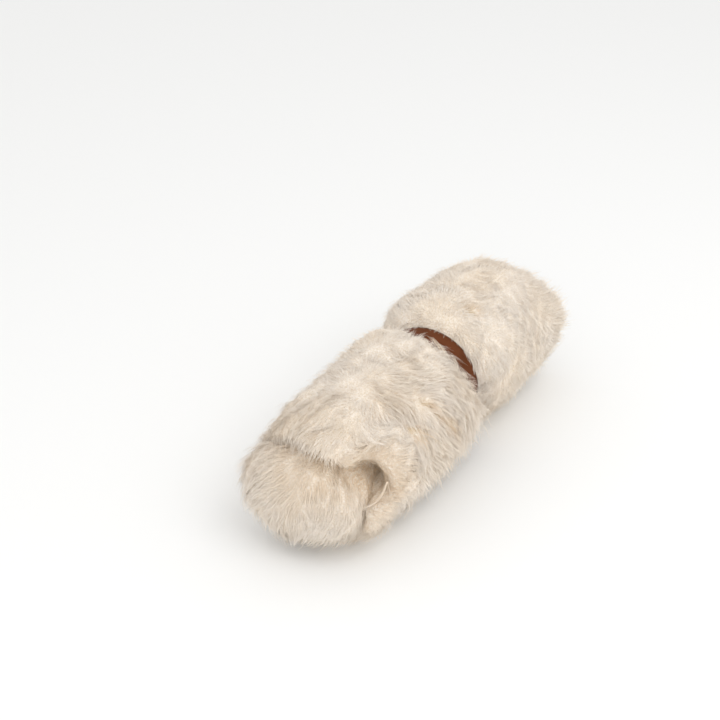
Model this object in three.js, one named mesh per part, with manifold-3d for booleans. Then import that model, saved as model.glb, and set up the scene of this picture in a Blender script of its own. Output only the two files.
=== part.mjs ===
// A whole sheepskin, rolled up along its length with the wool outside and held at its middle by a
// leather strap. Millimetres, +Z up. The roll's axis runs along X, with the open end towards -X, and
// the roll rests on the plane z = 0.

import * as THREE from "three";
import Module from "manifold-3d";
import { mergeVertices } from "three/addons/utils/BufferGeometryUtils.js";

// Driving dimensions
const AXIS_HEIGHT = 93; // the roll's axis above what it rests on, which flattens the wool below
const ROUND = 52; // steps round the outer wrap
const INNER_ROUND = 36; // steps round the inner turns
const MERGE = 1e-4; // corners closer than this are one corner

// The tufts of the wool, large and small: how far they stand out, how many go round, and the
// lengths in which they shift along the roll
const TUFTS = [
  { height: 4.5, round: 5, along: 37, drift: 19, sway: 2 },
  { height: 2.2, round: 13, along: -15, drift: 9, sway: 3 },
];

const STRAP_RADIUS = 73; // inside radius of the strap
const STRAP_MIDDLE = 36; // where along the roll the strap sits
const STRAP_WIDTH = 41;
const STRAP_THICK = 3;
const STRAP_STEPS = 64; // steps in one turn of the strap
const CLEARANCE = 0.3; // between the strap and the wool that it presses in
const LAP_START = 330; // degrees of the turn where the strap's tail climbs over its head
const LAP_END = 396; // degrees of the turn where the tail stops
const LAP_CLIMB = 18; // degrees that the climb takes
const SEAT_REACH = 130; // outer radius of the room cleared for the strap

const SETBACK = 58; // how far the outer wrap's near rim is drawn back at the open side
const SETBACK_REACH = 130; // length of the roll over which that fades out
const OPEN_SIDE = -115; // direction of the open side, in degrees from the top towards +Y

// Where the wool stands out most, from the top towards +Y: on the open side, and on the near half
// at the back of the top as well
const FULL_SIDE = -88;
const FULL_BACK = 32;
const BACK_SHARE = 0.85; // how much of the open side's fullness the back has
const BACK_END = 36; // where along the roll the back's fullness ends

// The outer wrap from its near end to its far end: x along the roll, radius to the wool's tips, and
// how much fuller that is at the full side
const OUTER_WRAP = [
  { x: -216, radius: 24, fuller: 0 },
  { x: -238, radius: 40, fuller: 0 },
  { x: -257, radius: 55, fuller: 0 },
  { x: -265, radius: 73, fuller: 0 },
  { x: -257, radius: 89, fuller: 0 },
  { x: -236, radius: 99, fuller: 0 },
  { x: -180, radius: 105, fuller: 0 },
  { x: -110, radius: 107, fuller: 0 },
  { x: -54, radius: 107, fuller: 6 },
  { x: -22, radius: 101, fuller: 12 },
  { x: -4, radius: 89, fuller: 15 },
  { x: 10, radius: 79, fuller: 9 },
  { x: 58, radius: 77, fuller: 0 },
  { x: 66, radius: 90, fuller: 0 },
  { x: 84, radius: 104, fuller: 0 },
  { x: 120, radius: 111, fuller: 0 },
  { x: 180, radius: 111, fuller: 0 },
  { x: 230, radius: 107, fuller: 10 },
  { x: 260, radius: 99, fuller: 27 },
  { x: 281, radius: 84, fuller: 31 },
  { x: 292, radius: 64, fuller: 18 },
  { x: 293, radius: 41, fuller: 3 },
  { x: 290, radius: 18, fuller: 0 },
];
const OUTER_STATIONS = 46;

// The inner turns, which push out of the near end, about their own centre line
const INNER_TURNS = [
  { x: -298, radius: 12, fuller: 0 },
  { x: -296, radius: 36, fuller: 0 },
  { x: -288, radius: 58, fuller: 0 },
  { x: -271, radius: 73, fuller: 0 },
  { x: -252, radius: 76, fuller: 0 },
  { x: -236, radius: 70, fuller: 0 },
  { x: -220, radius: 58, fuller: 0 },
  { x: -184, radius: 51, fuller: 0 },
];
const INNER_STATIONS = 16;
const INNER_SIDE = 18; // how far their centre lies from the axis, away from the open side
const INNER_DROP = -13; // and below the axis
const INNER_WIDE = 1.04; // they sag, so they are wider than they are tall
const INNER_TALL = 0.88;

// The hollow between the outer wrap and the inner turns, a crescent open at the near end
const HOLLOW_RADIUS = 66; // inside of the outer wrap
const HOLLOW_CORE = 42; // outside of the inner turns where the hollow passes them
const HOLLOW_FROM = -140; // where the crescent starts and ends, in degrees from the top towards +Y
const HOLLOW_TO = -28;
const HOLLOW_MOUTH = -310;
const HOLLOW_BOTTOM = -160;
const HOLLOW_TAPER = 0.8; // width left at the bottom of the hollow
const HOLLOW_STEPS = 14;

// The winding that shows as a groove in the far end
const GROOVE_FROM = 272; // where along the roll the end face starts
const GROOVE_DEPTH = 15;
const GROOVE_WIDTH = 26;
const GROOVE_INNER = 14; // radius where the winding starts
const GROOVE_PITCH = 40; // thickness of one turn of skin and wool
const GROOVE_OUTER = 88; // radius where it runs out into the side

// Locks of wool round the ends: where they stand, how far they reach and how they lean
const LOCK_ROWS = [
  { count: 24, x: -240, radius: 88, reach: 27, out: 0.8, along: -1, side: 0, rise: 0 },
  { count: 24, x: -268, radius: 66, reach: 24, out: 0.9, along: -1, side: INNER_SIDE, rise: INNER_DROP },
  { count: 14, x: -286, radius: 42, reach: 16, out: 0.6, along: -1, side: INNER_SIDE, rise: INNER_DROP },
  { count: 30, x: 264, radius: 90, reach: 28, out: 0.9, along: 1, side: 0, rise: 0 },
  { count: 16, x: 283, radius: 56, reach: 20, out: 0.5, along: 1, side: 0, rise: 0 },
];
const LOCK_WIDTH = 20;
const LOCK_UNEVEN = 0.3; // how much the locks' spacing and reach vary
const LOCK_DROOP = 0.22; // how much a lock sags
const LOCK_FLOOR = 1.5; // the lowest that a lock's tip comes

const rad = THREE.MathUtils.degToRad;

const wasm = await Module();
wasm.setup();

// A closed three.js geometry as a solid that can be joined and cut
function toSolid(geometry) {
  const bare = geometry.clone();
  bare.deleteAttribute("normal");
  bare.deleteAttribute("uv");
  const merged = mergeVertices(bare, MERGE);
  return new wasm.Manifold(new wasm.Mesh({
    numProp: 3,
    vertProperties: new Float32Array(merged.attributes.position.array),
    triVerts: new Uint32Array(merged.index.array),
  }));
}

// A solid back as a three.js geometry
function toGeometry(solid) {
  const mesh = solid.getMesh();
  const geometry = new THREE.BufferGeometry();
  geometry.setAttribute("position", new THREE.BufferAttribute(mesh.vertProperties, 3));
  geometry.setIndex(new THREE.BufferAttribute(mesh.triVerts, 1));
  geometry.computeVertexNormals();
  return geometry;
}

// The direction at an angle from the top towards +Y, seen along the roll
function around(angle) {
  return { y: Math.sin(angle), z: Math.cos(angle) };
}

// Spaced points on a smooth curve through a table: x, radius and how much fuller one side is
function stations(table, count) {
  const points = table.map((row) => new THREE.Vector3(row.x, row.radius, row.fuller));
  return new THREE.CatmullRomCurve3(points, false, "centripetal").getSpacedPoints(count - 1);
}

// The uneven surface of the wool, as a height above its mean radius
function tuftHeight(x, angle) {
  const heights = TUFTS.map(({ height, round, along, drift, sway }) => {
    const crosswise = Math.sin(round * angle + x / along);
    const lengthwise = Math.sin(x / drift + sway * Math.sin(sway * angle));
    return height * crosswise * lengthwise;
  });
  return heights.reduce((sum, height) => sum + height, 0);
}

// How much of a groove a point at a radius and angle of an end face lies in, from 0 to 1
function winding(radius, angle) {
  const turn = (angle / (2 * Math.PI) + 1) % 1;
  let share = 0;
  for (let lap = 0; GROOVE_INNER + GROOVE_PITCH * (turn + lap) < GROOVE_OUTER; lap += 1) {
    const middle = GROOVE_INNER + GROOVE_PITCH * (turn + lap);
    share = Math.max(share, 1 - Math.abs(radius - middle) / (GROOVE_WIDTH / 2));
  }
  return share;
}

// A closed skin over rings of points, from one pole to the other
function skinOver(rings, firstPole, lastPole) {
  const steps = rings[0].length;
  const positions = [...firstPole, ...rings.flat(2), ...lastPole];
  const last = rings.length * steps + 1;
  const index = [];
  for (let step = 0; step < steps; step += 1) {
    const next = (step + 1) % steps;
    index.push(0, 1 + step, 1 + next);
    for (let ring = 0; ring < rings.length - 1; ring += 1) {
      const here = 1 + ring * steps;
      const there = here + steps;
      index.push(here + step, there + step, here + next);
      index.push(here + next, there + step, there + next);
    }
    const end = 1 + (rings.length - 1) * steps;
    index.push(last, end + next, end + step);
  }
  const geometry = new THREE.BufferGeometry();
  geometry.setAttribute("position", new THREE.Float32BufferAttribute(positions, 3));
  geometry.setIndex(index);
  return geometry;
}

// One fat lump of wool, with the floor pressing it flat below
function woolBody(table, count, steps, place, placeAlong) {
  const rings = stations(table, count).map((point) => Array.from({ length: steps }, (unused, step) => {
    const angle = (2 * Math.PI * step) / steps;
    const { y, z } = around(angle);
    const fullSide = Math.max(0, Math.cos(angle - rad(FULL_SIDE))) ** 3;
    const fullBack = Math.max(0, Math.cos(angle - rad(FULL_BACK))) ** 3;
    const fullness = fullSide + (point.x < BACK_END ? BACK_SHARE * fullBack : 0);
    const radius = point.y + point.z * fullness + tuftHeight(point.x, angle);
    const height = AXIS_HEIGHT + place.rise + place.tall * radius * z;
    return [placeAlong(point, angle), place.side + place.wide * radius * y, Math.max(0, height)];
  }));
  const pole = (ring) => ring.reduce((sum, p) => sum.map((v, i) => v + p[i] / steps), [0, 0, 0]);
  return toSolid(skinOver(rings, pole(rings[0]), pole(rings[rings.length - 1])));
}

// How far the outer wrap's near rim is drawn back in a direction
function drawnBack(angle) {
  return SETBACK * (0.5 + 0.5 * Math.cos(angle - rad(OPEN_SIDE))) ** 1.5;
}

// The outer wrap: its near rim drawn back, and the winding pressed in its far end
function outerWrap() {
  const nearEnd = OUTER_WRAP[0].x;
  const place = { side: 0, rise: 0, wide: 1, tall: 1 };
  return woolBody(OUTER_WRAP, OUTER_STATIONS, ROUND, place, (point, angle) => {
    const fade = THREE.MathUtils.smoothstep(nearEnd - point.x, -SETBACK_REACH, 0);
    const dent = point.x > GROOVE_FROM ? GROOVE_DEPTH * winding(point.y, angle) : 0;
    return point.x + drawnBack(angle) * fade - dent;
  });
}

function innerTurns() {
  const place = { side: INNER_SIDE, rise: INNER_DROP, wide: INNER_WIDE, tall: INNER_TALL };
  return woolBody(INNER_TURNS, INNER_STATIONS, INNER_ROUND, place, (point) => point.x);
}

// The crescent between the outer wrap and the inner turns, narrower at its bottom
function hollow() {
  const outline = [];
  for (let step = 0; step <= HOLLOW_STEPS; step += 1) {
    const angle = rad(THREE.MathUtils.lerp(HOLLOW_FROM, HOLLOW_TO, step / HOLLOW_STEPS));
    outline.push([HOLLOW_RADIUS * Math.sin(angle), HOLLOW_RADIUS * Math.cos(angle)]);
  }
  for (let step = HOLLOW_STEPS - 1; step > 0; step -= 1) {
    const share = step / HOLLOW_STEPS;
    const angle = rad(THREE.MathUtils.lerp(HOLLOW_FROM, HOLLOW_TO, share));
    const { y, z } = around(angle);
    const pinch = Math.sin(Math.PI * share);
    const core = THREE.MathUtils.lerp(HOLLOW_RADIUS, HOLLOW_CORE, pinch ** 0.5);
    outline.push([pinch * INNER_SIDE + core * y, pinch * INNER_DROP + core * z]);
  }
  const middle = [0, 1].map((axis) => outline.reduce((sum, p) => sum + p[axis], 0) / outline.length);
  const ringAt = (x, scale) => outline.map(([y, z]) => [
    x,
    middle[0] + scale * (y - middle[0]),
    AXIS_HEIGHT + middle[1] + scale * (z - middle[1]),
  ]);
  const rings = [ringAt(HOLLOW_MOUTH, 1), ringAt(HOLLOW_BOTTOM, HOLLOW_TAPER)];
  const poleAt = (x) => [x, middle[0], AXIS_HEIGHT + middle[1]];
  return toSolid(skinOver(rings, poleAt(HOLLOW_MOUTH), poleAt(HOLLOW_BOTTOM)));
}

// One lock: three sides that start inside the wool and run out to a tip
function lock(row, number) {
  const angle = (2 * Math.PI * (number + LOCK_UNEVEN * Math.sin(7 * number))) / row.count;
  const { y, z } = around(angle);
  const reach = row.reach * (1 + LOCK_UNEVEN * Math.sin(5 * number + row.x));
  const root = new THREE.Vector3(row.x, row.side + row.radius * y, AXIS_HEIGHT + row.rise + row.radius * z);
  root.x += row.along < 0 && row.side === 0 ? drawnBack(angle) : 0;
  const lean = new THREE.Vector3(row.along, row.out * y, row.out * z - LOCK_DROOP).normalize();
  const tip = root.clone().addScaledVector(lean, reach);
  tip.z = Math.max(LOCK_FLOOR, tip.z);
  root.z = Math.max(LOCK_FLOOR + LOCK_WIDTH / 2, root.z);
  const wide = new THREE.Vector3(0, -z, y);
  const deep = new THREE.Vector3().crossVectors(lean, wide).normalize();
  const base = [0, 1, 2].map((corner) => {
    const turn = (2 * Math.PI * corner) / 3;
    return root.clone()
      .addScaledVector(wide, (LOCK_WIDTH / 2) * Math.cos(turn))
      .addScaledVector(deep, (LOCK_WIDTH / 2) * Math.sin(turn))
      .addScaledVector(lean, -LOCK_WIDTH / 2);
  });
  const corners = [...base, tip].flatMap((point) => point.toArray());
  const geometry = new THREE.BufferGeometry();
  geometry.setAttribute("position", new THREE.Float32BufferAttribute(corners, 3));
  geometry.setIndex([0, 2, 1, 0, 1, 3, 1, 2, 3, 2, 0, 3]);
  return toSolid(geometry);
}

// The strap's path round the waist, as the radius of its inner face at an angle of the turn
function strapRadius(degrees) {
  const climb = THREE.MathUtils.smoothstep(degrees, LAP_START, LAP_START + LAP_CLIMB);
  return STRAP_RADIUS + climb * (STRAP_THICK + CLEARANCE);
}

// The strap lies edge on in its outline, which is then given its width. It starts underneath.
function strapGeometry() {
  const stepDegrees = 360 / STRAP_STEPS;
  const inner = [];
  const outer = [];
  for (let degrees = 0; degrees <= LAP_END; degrees += stepDegrees) {
    const angle = rad(degrees - 90);
    const radius = strapRadius(degrees);
    inner.push(new THREE.Vector2(radius * Math.cos(angle), radius * Math.sin(angle)));
    const outside = radius + STRAP_THICK;
    outer.push(new THREE.Vector2(outside * Math.cos(angle), outside * Math.sin(angle)));
  }
  const band = new THREE.Shape([...inner, ...outer.reverse()]);
  const geometry = new THREE.ExtrudeGeometry(band, { depth: STRAP_WIDTH, bevelEnabled: false });
  geometry.rotateY(Math.PI / 2);
  geometry.rotateX(Math.PI / 2);
  geometry.translate(STRAP_MIDDLE - STRAP_WIDTH / 2, 0, AXIS_HEIGHT);
  return geometry;
}

// The room that the strap presses into the wool
function strapSeat() {
  const half = STRAP_WIDTH / 2 + CLEARANCE;
  const ring = [
    new THREE.Vector2(STRAP_RADIUS - CLEARANCE, -half),
    new THREE.Vector2(SEAT_REACH, -half),
    new THREE.Vector2(SEAT_REACH, half),
    new THREE.Vector2(STRAP_RADIUS - CLEARANCE, half),
    new THREE.Vector2(STRAP_RADIUS - CLEARANCE, -half),
  ];
  const geometry = new THREE.LatheGeometry(ring, STRAP_STEPS);
  geometry.rotateZ(-Math.PI / 2);
  geometry.translate(STRAP_MIDDLE, 0, AXIS_HEIGHT);
  return toSolid(geometry);
}

function fleeceGeometry() {
  let fleece = outerWrap().subtract(hollow().subtract(innerTurns())).add(innerTurns());
  for (const row of LOCK_ROWS) {
    for (let number = 0; number < row.count; number += 1) {
      fleece = fleece.add(lock(row, number));
    }
  }
  return toGeometry(fleece.subtract(strapSeat()));
}

const wool = new THREE.MeshStandardMaterial({ color: 0xe2d7c8, roughness: 0.95, metalness: 0 });
const leather = new THREE.MeshStandardMaterial({ color: 0x70452e, roughness: 0.5, metalness: 0 });

const fleeceRoll = new THREE.Mesh(fleeceGeometry(), wool);
fleeceRoll.name = "fleece_roll";

const strap = new THREE.Mesh(strapGeometry(), leather);
strap.name = "strap";

const group = new THREE.Group();
group.add(fleeceRoll, strap);

// The origin is the middle of the roll's underside
const middle = new THREE.Box3().setFromObject(group).getCenter(new THREE.Vector3());
group.position.set(-middle.x, -middle.y, 0);

export default group;
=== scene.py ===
"""A whole sheepskin rolled up with the wool outside, and the leather strap that holds the roll."""
import math

import bpy
import numpy as np
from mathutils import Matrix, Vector


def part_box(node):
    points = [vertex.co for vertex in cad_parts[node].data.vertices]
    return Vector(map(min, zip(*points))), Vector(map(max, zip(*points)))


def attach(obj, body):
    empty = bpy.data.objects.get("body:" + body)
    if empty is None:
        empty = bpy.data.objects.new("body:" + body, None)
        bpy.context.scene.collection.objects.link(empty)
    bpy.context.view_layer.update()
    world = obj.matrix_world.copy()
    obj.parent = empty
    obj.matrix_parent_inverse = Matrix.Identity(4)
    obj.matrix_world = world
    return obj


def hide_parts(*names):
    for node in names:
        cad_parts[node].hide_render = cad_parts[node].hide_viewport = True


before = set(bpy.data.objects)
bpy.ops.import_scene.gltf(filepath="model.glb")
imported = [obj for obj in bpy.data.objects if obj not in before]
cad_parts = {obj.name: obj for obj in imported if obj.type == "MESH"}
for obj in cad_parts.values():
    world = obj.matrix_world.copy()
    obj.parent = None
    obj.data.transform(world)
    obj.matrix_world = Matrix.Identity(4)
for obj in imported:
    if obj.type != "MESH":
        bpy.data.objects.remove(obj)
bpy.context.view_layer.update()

MM = 0.001


# The camera
# It looks down on the open end of the roll from about two arm's lengths away, as the photograph does.
# The roll's axis is found from the strap. Places along the roll are counted from a point 36 mm before
# the strap's middle, on the open end's side.
strap_low, strap_high = (Vector(corner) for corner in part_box("strap"))
STRAP_OUTSIDE = 76 * MM
STRAP_MIDDLE = 36
AXIS = Vector((0, strap_high.y - STRAP_OUTSIDE, strap_high.z - STRAP_OUTSIDE))
ALONG_SHIFT = (strap_low.x + strap_high.x) / 2 - STRAP_MIDDLE * MM

CAMERA_FROM_AXIS = Vector((-1285, -672, 925)) * MM
CAMERA_HEADING = math.radians(30.4)
CAMERA_PITCH = math.radians(-31.0)
FOCAL_PIXELS = 1240
FRAME_PIXELS = 720
SENSOR = 36

camera_data = bpy.data.cameras.new("camera")
camera_data.sensor_width = SENSOR
camera_data.lens = SENSOR * FOCAL_PIXELS / FRAME_PIXELS
camera = bpy.data.objects.new("camera", camera_data)
camera.location = CAMERA_FROM_AXIS + Vector((ALONG_SHIFT, AXIS.y, AXIS.z))
looking = Vector((
    math.cos(CAMERA_HEADING) * math.cos(CAMERA_PITCH),
    math.sin(CAMERA_HEADING) * math.cos(CAMERA_PITCH),
    math.sin(CAMERA_PITCH),
))
camera.rotation_euler = looking.to_track_quat("-Z", "Y").to_euler()
bpy.context.scene.collection.objects.link(camera)
bpy.context.scene.camera = camera


# The outer turn of the fleece
# The last turn of the skin, wool outside. Its crimped underwool is a dense mat under the long locks,
# open at the near end like a sleeve, flattened below by its weight and pinched in by the strap.
HOLLOW_SIDE, MOUTH_HALF = math.radians(-70), math.radians(27)
MOUTH_DEEP, MOUTH_ABOVE, MOUTH_BELOW = 47 * MM, 2.2, 8
UNDER_BACK = 12 * MM
SETBACK_FROM, SETBACK_REACH = -216 * MM, 130 * MM
OVERHANG, OVERHANG_SIDE = 15 * MM, math.radians(-14)
FULL_SIDE = math.radians(-88)
FULL_BACK, FULL_SHARE = math.radians(32), 0.85
FAR_SHOULDER, FAR_SHOULDER_SIDE = 6, math.radians(42)
FAR_SHOULDER_AT, FAR_SHOULDER_REACH = 98, 36
FAR_SKEW, FAR_SKEW_SIDE = 11, math.radians(-102)
FAR_SKEW_FROM, FAR_SKEW_REACH = 225, 45
GROOVE_DEEP, GROOVE_HALF, GROOVE_FROM, GROOVE_REACH, GROOVE_INSIDE = 9, 4.5, 276, 6, 70
MAT_SPACING = 4.8
FLOOR_GAP = 1.2 * MM
AROUND = 168

# Each parting from one end to the other, along the roll in mm and round it in degrees
PARTINGS = [
    ((-104, -46), (-85, -63)), ((-152, -54), (-140, -58)),
    ((-78, -70), (-66, -80)), ((104, -23), (109, -17)),
]
PARTING_RADIUS, PARTING_DEPTH = 98, 5

# Along the roll in mm, radius of the mat in mm, how much fuller its full sides are in mm, and how
# bare of long wool it is, from 0 to 1
MAT_PROFILE = [
    (-214, 22, 0, 1), (-215, 44, 0, 1), (-218, 60, 0, 1), (-223, 64, 0, 1), (-229, 65, 0, 1),
    (-236, 66, 0, 1), (-247, 68, 0, 0.5), (-256, 76, 0, 0), (-253, 85, 0, 0), (-234, 91, 0, 0),
    (-180, 96, 0, 0), (-110, 97, 0, 0), (-54, 97, 5, 0), (-22, 92, 12, 0), (-4, 83, 20, 0),
    (7, 78, 14, 0), (14, 75, 2, 0), (20, 70, 0, 1), (36, 70, 0, 1), (52, 70, 0, 1), (58, 76, 0, 0),
    (67, 86, 0, 0), (84, 95, 0, 0), (120, 102, 0, 0), (180, 102, 0, 0), (230, 98, 6, 0),
    (262, 90, 17, 0), (280, 78, 21, 0), (289, 62, 16, 0), (290, 38, 4, 0), (288, 14, 0, 0),
]


def smooth_step(value):
    value = np.clip(value, 0, 1)
    return value * value * (3 - 2 * value)


def profile_points(table, spacing):
    """Evenly spaced points on a smooth curve through a table's rows."""
    rows = np.array(table, float)
    rows = np.vstack([2 * rows[0] - rows[1], rows, 2 * rows[-1] - rows[-2]])
    dense = []
    for a, b, c, d in zip(rows, rows[1:], rows[2:], rows[3:]):
        t = np.linspace(0, 1, 24, endpoint=False)[:, None]
        dense.append(0.5 * (2 * b + (c - a) * t + (2 * a - 5 * b + 4 * c - d) * t ** 2
                            + (3 * b - a - 3 * c + d) * t ** 3))
    dense = np.vstack(dense + [rows[-2:-1]])
    steps = np.linalg.norm(np.diff(dense[:, :2], axis=0), axis=1)
    length = np.concatenate([[0], np.cumsum(steps)])
    places = np.linspace(0, length[-1], int(length[-1] / spacing) + 1)
    return np.stack([np.interp(places, length, column) for column in dense.T], axis=1)


def tuft_height(x, angle):
    """The uneven lie of the fleece, large tufts and small ones, in metres; x is in millimetres."""
    height = 0
    for rise, crosswise, along, drift, sway in ((3.6, 5, 37, 19, 2), (1.6, 13, -15, 9, 3)):
        height = height + rise * np.sin(crosswise * angle + x / along) * np.sin(
            x / drift + sway * np.sin(sway * angle))
    return height * MM


def drawn_back(angle):
    """How far the near rim stands back: an arch at the mouth of the hollow, and a lip hanging forward."""
    below = (HOLLOW_SIDE - angle + math.pi) % (2 * math.pi) - math.pi
    aside = np.clip(np.abs(below) / MOUTH_HALF, 0, 1)
    mouth = MOUTH_DEEP * np.sqrt(1 - aside ** np.where(below > 0, MOUTH_BELOW, MOUTH_ABOVE))
    overhang = OVERHANG * np.exp(-((angle - OVERHANG_SIDE) / math.radians(32)) ** 2)
    return mouth - overhang + UNDER_BACK * (0.5 - 0.5 * np.cos(angle))


def parted(x, angle, width):
    """How near a place is to the partings, where the wool falls apart and shows its yellower roots."""
    near = 0
    for (start_x, start_angle), (end_x, end_angle) in PARTINGS:
        start = np.array([start_x, math.radians(start_angle) * PARTING_RADIUS])
        step = np.array([end_x, math.radians(end_angle) * PARTING_RADIUS]) - start
        place = np.stack(np.broadcast_arrays(x, angle * PARTING_RADIUS), axis=-1) - start
        share = np.clip(place @ step / (step @ step), 0, 1)
        away = np.linalg.norm(place - share[..., None] * step, axis=-1)
        near = np.maximum(near, np.exp(-(away / width) ** 2))
    return near


def closed_mesh(name, rings, poles):
    """A closed mesh over rings of points, with a pole at each end; faces point outwards."""
    count, steps = rings.shape[:2]
    points = np.vstack([rings.reshape(-1, 3), poles])
    here = np.arange(count - 1)[:, None] * steps + np.arange(steps)[None, :]
    beside = np.arange(count - 1)[:, None] * steps + (np.arange(steps)[None, :] + 1) % steps
    quads = np.stack([here, here + steps, beside + steps, beside], axis=-1).reshape(-1, 4)
    first, last = count * steps, count * steps + 1
    step = np.arange(steps)
    after = (step + 1) % steps
    end = (count - 1) * steps
    caps = [(first, int(a), int(b)) for a, b in zip(step, after)]
    caps += [(last, end + int(b), end + int(a)) for a, b in zip(step, after)]
    mesh = bpy.data.meshes.new(name)
    mesh.from_pydata(points.tolist(), [], quads.tolist() + caps)
    mesh.shade_smooth()
    return mesh


def add_attribute(mesh, name, values):
    """Stores a number or a vector for each point of a mesh."""
    values = np.asarray(values, np.float32)
    kind, field = ("FLOAT_VECTOR", "vector") if values.ndim == 2 else ("FLOAT", "value")
    attribute = mesh.attributes.new(name, kind, "POINT")
    attribute.data.foreach_set(field, values.ravel())


def mesh_normals(mesh):
    normals = np.empty(len(mesh.vertices) * 3, np.float32)
    mesh.vertices.foreach_get("normal", normals)
    return normals.reshape(-1, 3)


def mesh_points(mesh):
    points = np.empty(len(mesh.vertices) * 3, np.float32)
    mesh.vertices.foreach_get("co", points)
    return points.reshape(-1, 3)


def add_object(name, mesh):
    thing = bpy.data.objects.new(name, mesh)
    bpy.context.scene.collection.objects.link(thing)
    return thing


SKIN_OUTER, SKIN_PITCH = 62.5, 17.0
mat_rows = profile_points(MAT_PROFILE, MAT_SPACING)
mat_angle = np.linspace(-math.pi, math.pi, AROUND, endpoint=False)[None, :]
mat_x, mat_radius, mat_fuller, mat_bare = (mat_rows[:, column, None] for column in range(4))
fade = smooth_step((SETBACK_FROM - mat_x * MM) / SETBACK_REACH + 1)
shoulder = FAR_SHOULDER * np.maximum(0, np.cos(mat_angle - FAR_SHOULDER_SIDE)) ** 3
shoulder = shoulder * np.exp(-((mat_x - FAR_SHOULDER_AT) / FAR_SHOULDER_REACH) ** 2) * (1 - mat_bare)
skew = FAR_SKEW * smooth_step((mat_x - FAR_SKEW_FROM) / FAR_SKEW_REACH)
skew = skew * np.cos(mat_angle - FAR_SKEW_SIDE)
full_side = np.maximum(0, np.cos(mat_angle - FULL_SIDE)) ** 3
full_back = FULL_SHARE * np.maximum(0, np.cos(mat_angle - FULL_BACK)) ** 3
full_side = full_side + full_back * (mat_x < STRAP_MIDDLE)
ring_radius = (mat_radius + mat_fuller * full_side + shoulder) * MM
ring_radius = ring_radius + tuft_height(mat_x, mat_angle) * (1 - mat_bare)
ring_radius = ring_radius - PARTING_DEPTH * MM * parted(mat_x, mat_angle, 4.0)
turn_line = (SKIN_OUTER - ring_radius / MM) / SKIN_PITCH - (mat_angle / (2 * math.pi) + 0.5) % 1.0
off_turn = (turn_line + 0.5) % 1.0 - 0.5
groove = np.exp(-(off_turn * SKIN_PITCH / GROOVE_HALF) ** 2)
groove = groove * smooth_step((mat_x - GROOVE_FROM) / GROOVE_REACH) * (ring_radius < GROOVE_INSIDE * MM)
mat_rings = np.stack([
    (mat_x - GROOVE_DEEP * groove + skew) * MM + ALONG_SHIFT + drawn_back(mat_angle) * fade,
    AXIS.y + ring_radius * np.sin(mat_angle),
    np.maximum(FLOOR_GAP, AXIS.z + ring_radius * np.cos(mat_angle)),
], axis=-1)
mat_poles = [mat_rings[0].mean(0), mat_rings[-1].mean(0)]
mat_mesh = closed_mesh("outer_fleece", mat_rings, mat_poles)


def comb_direction(points, normals, along, down, out, stray, seed):
    """Which way the wool lies on a surface, from how strongly it leans each way and astray."""
    phase = np.random.default_rng(seed).uniform(0, 2 * math.pi, 12)
    swirl = np.zeros_like(points)
    for octave, length in enumerate((0.11, 0.055, 0.03)):
        for axis in range(3):
            k = np.roll([1.0, 0.7, -0.45], axis + octave)
            wave = np.sin(points @ k * (2 * math.pi / length) + phase[3 * octave + axis])
            swirl[:, axis] += wave / (1 + octave)
    lean = np.zeros_like(points)
    lean[:, 0] = along
    lean[:, 2] = -down
    lean[:, 1:] += (points[:, 1:] - AXIS[1:]) / STRAP_OUTSIDE * np.reshape(out, (-1, 1))
    lean = lean + swirl * np.asarray(stray)[..., None]
    lean -= normals * (lean * normals).sum(1, keepdims=True)
    return lean / np.maximum(np.linalg.norm(lean, axis=1, keepdims=True), 0.5)


def bump_at(x, middle, width):
    return np.exp(-((x - middle) / width) ** 2)


mat_points, mat_normals = mesh_points(mat_mesh), mesh_normals(mat_mesh)
lie_x = (mat_points[:, 0] - ALONG_SHIFT) / MM
lie_angle = np.arctan2(mat_points[:, 1] - AXIS.y, mat_points[:, 2] - AXIS.z)
rim_x = lie_x - drawn_back(lie_angle) / MM
at_rim = smooth_step((-206 - rim_x) / 34)
beside_hollow = smooth_step((np.cos(lie_angle - HOLLOW_SIDE) - 0.62) / 0.3)
right_side = smooth_step((np.cos(lie_angle - math.radians(-72)) - 0.25) / 0.5)
shaggy = right_side * smooth_step((lie_x + 190) / 60) * smooth_step((40 - lie_x) / 20)
far_end = smooth_step((lie_x - 222) / 40)
before_strap, after_strap = bump_at(lie_x, 6, 20), bump_at(lie_x, 70, 24)
below_side = smooth_step((math.radians(-74) - lie_angle) / math.radians(8))
over_strap, back_over_strap = before_strap * below_side, after_strap * below_side
under = smooth_step((mat_points[:, 2] - 4 * MM) / (26 * MM))
towards_rim = smooth_step((-110 - rim_x) / 120)
lean_along = (0.25 - 1.2 * towards_rim * (1 - beside_hollow) + 1.0 * at_rim * beside_hollow
              - 0.5 * before_strap + 2.0 * over_strap + 0.4 * after_strap - 2.4 * back_over_strap
              + 1.1 * far_end)
lean_down = 0.7 + 0.4 * shaggy - 0.35 * far_end
lean_out = at_rim * (2.5 * beside_hollow - 0.4 * (1 - beside_hollow))
swirl = (0.24 + 0.16 * shaggy) * (1 - 0.8 * before_strap)
mat_comb = comb_direction(mat_points, mat_normals, lean_along, lean_down, lean_out, swirl, 3)
mat_comb[:, 1] -= 0.15 * far_end * right_side
mat_comb[:, 0] += 0.15 * far_end * right_side
at_lip = at_rim * (1 - beside_hollow) * smooth_step(0.5 + 2 * np.cos(lie_angle))
lock_length = 17 + 12 * shaggy + 3 * at_lip + 8 * (over_strap + back_over_strap) + 4 * far_end
lock_length = lock_length * (0.4 + 0.6 * under) * MM
wool_loft = (6 + 3 * shaggy + 2 * at_lip) * MM
bare = np.concatenate([np.repeat(mat_bare.ravel(), AROUND), [1, 0]])
add_attribute(mat_mesh, "comb", mat_comb * lock_length[:, None])
add_attribute(mat_mesh, "loft", wool_loft * (0.15 + 0.85 * under))
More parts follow.
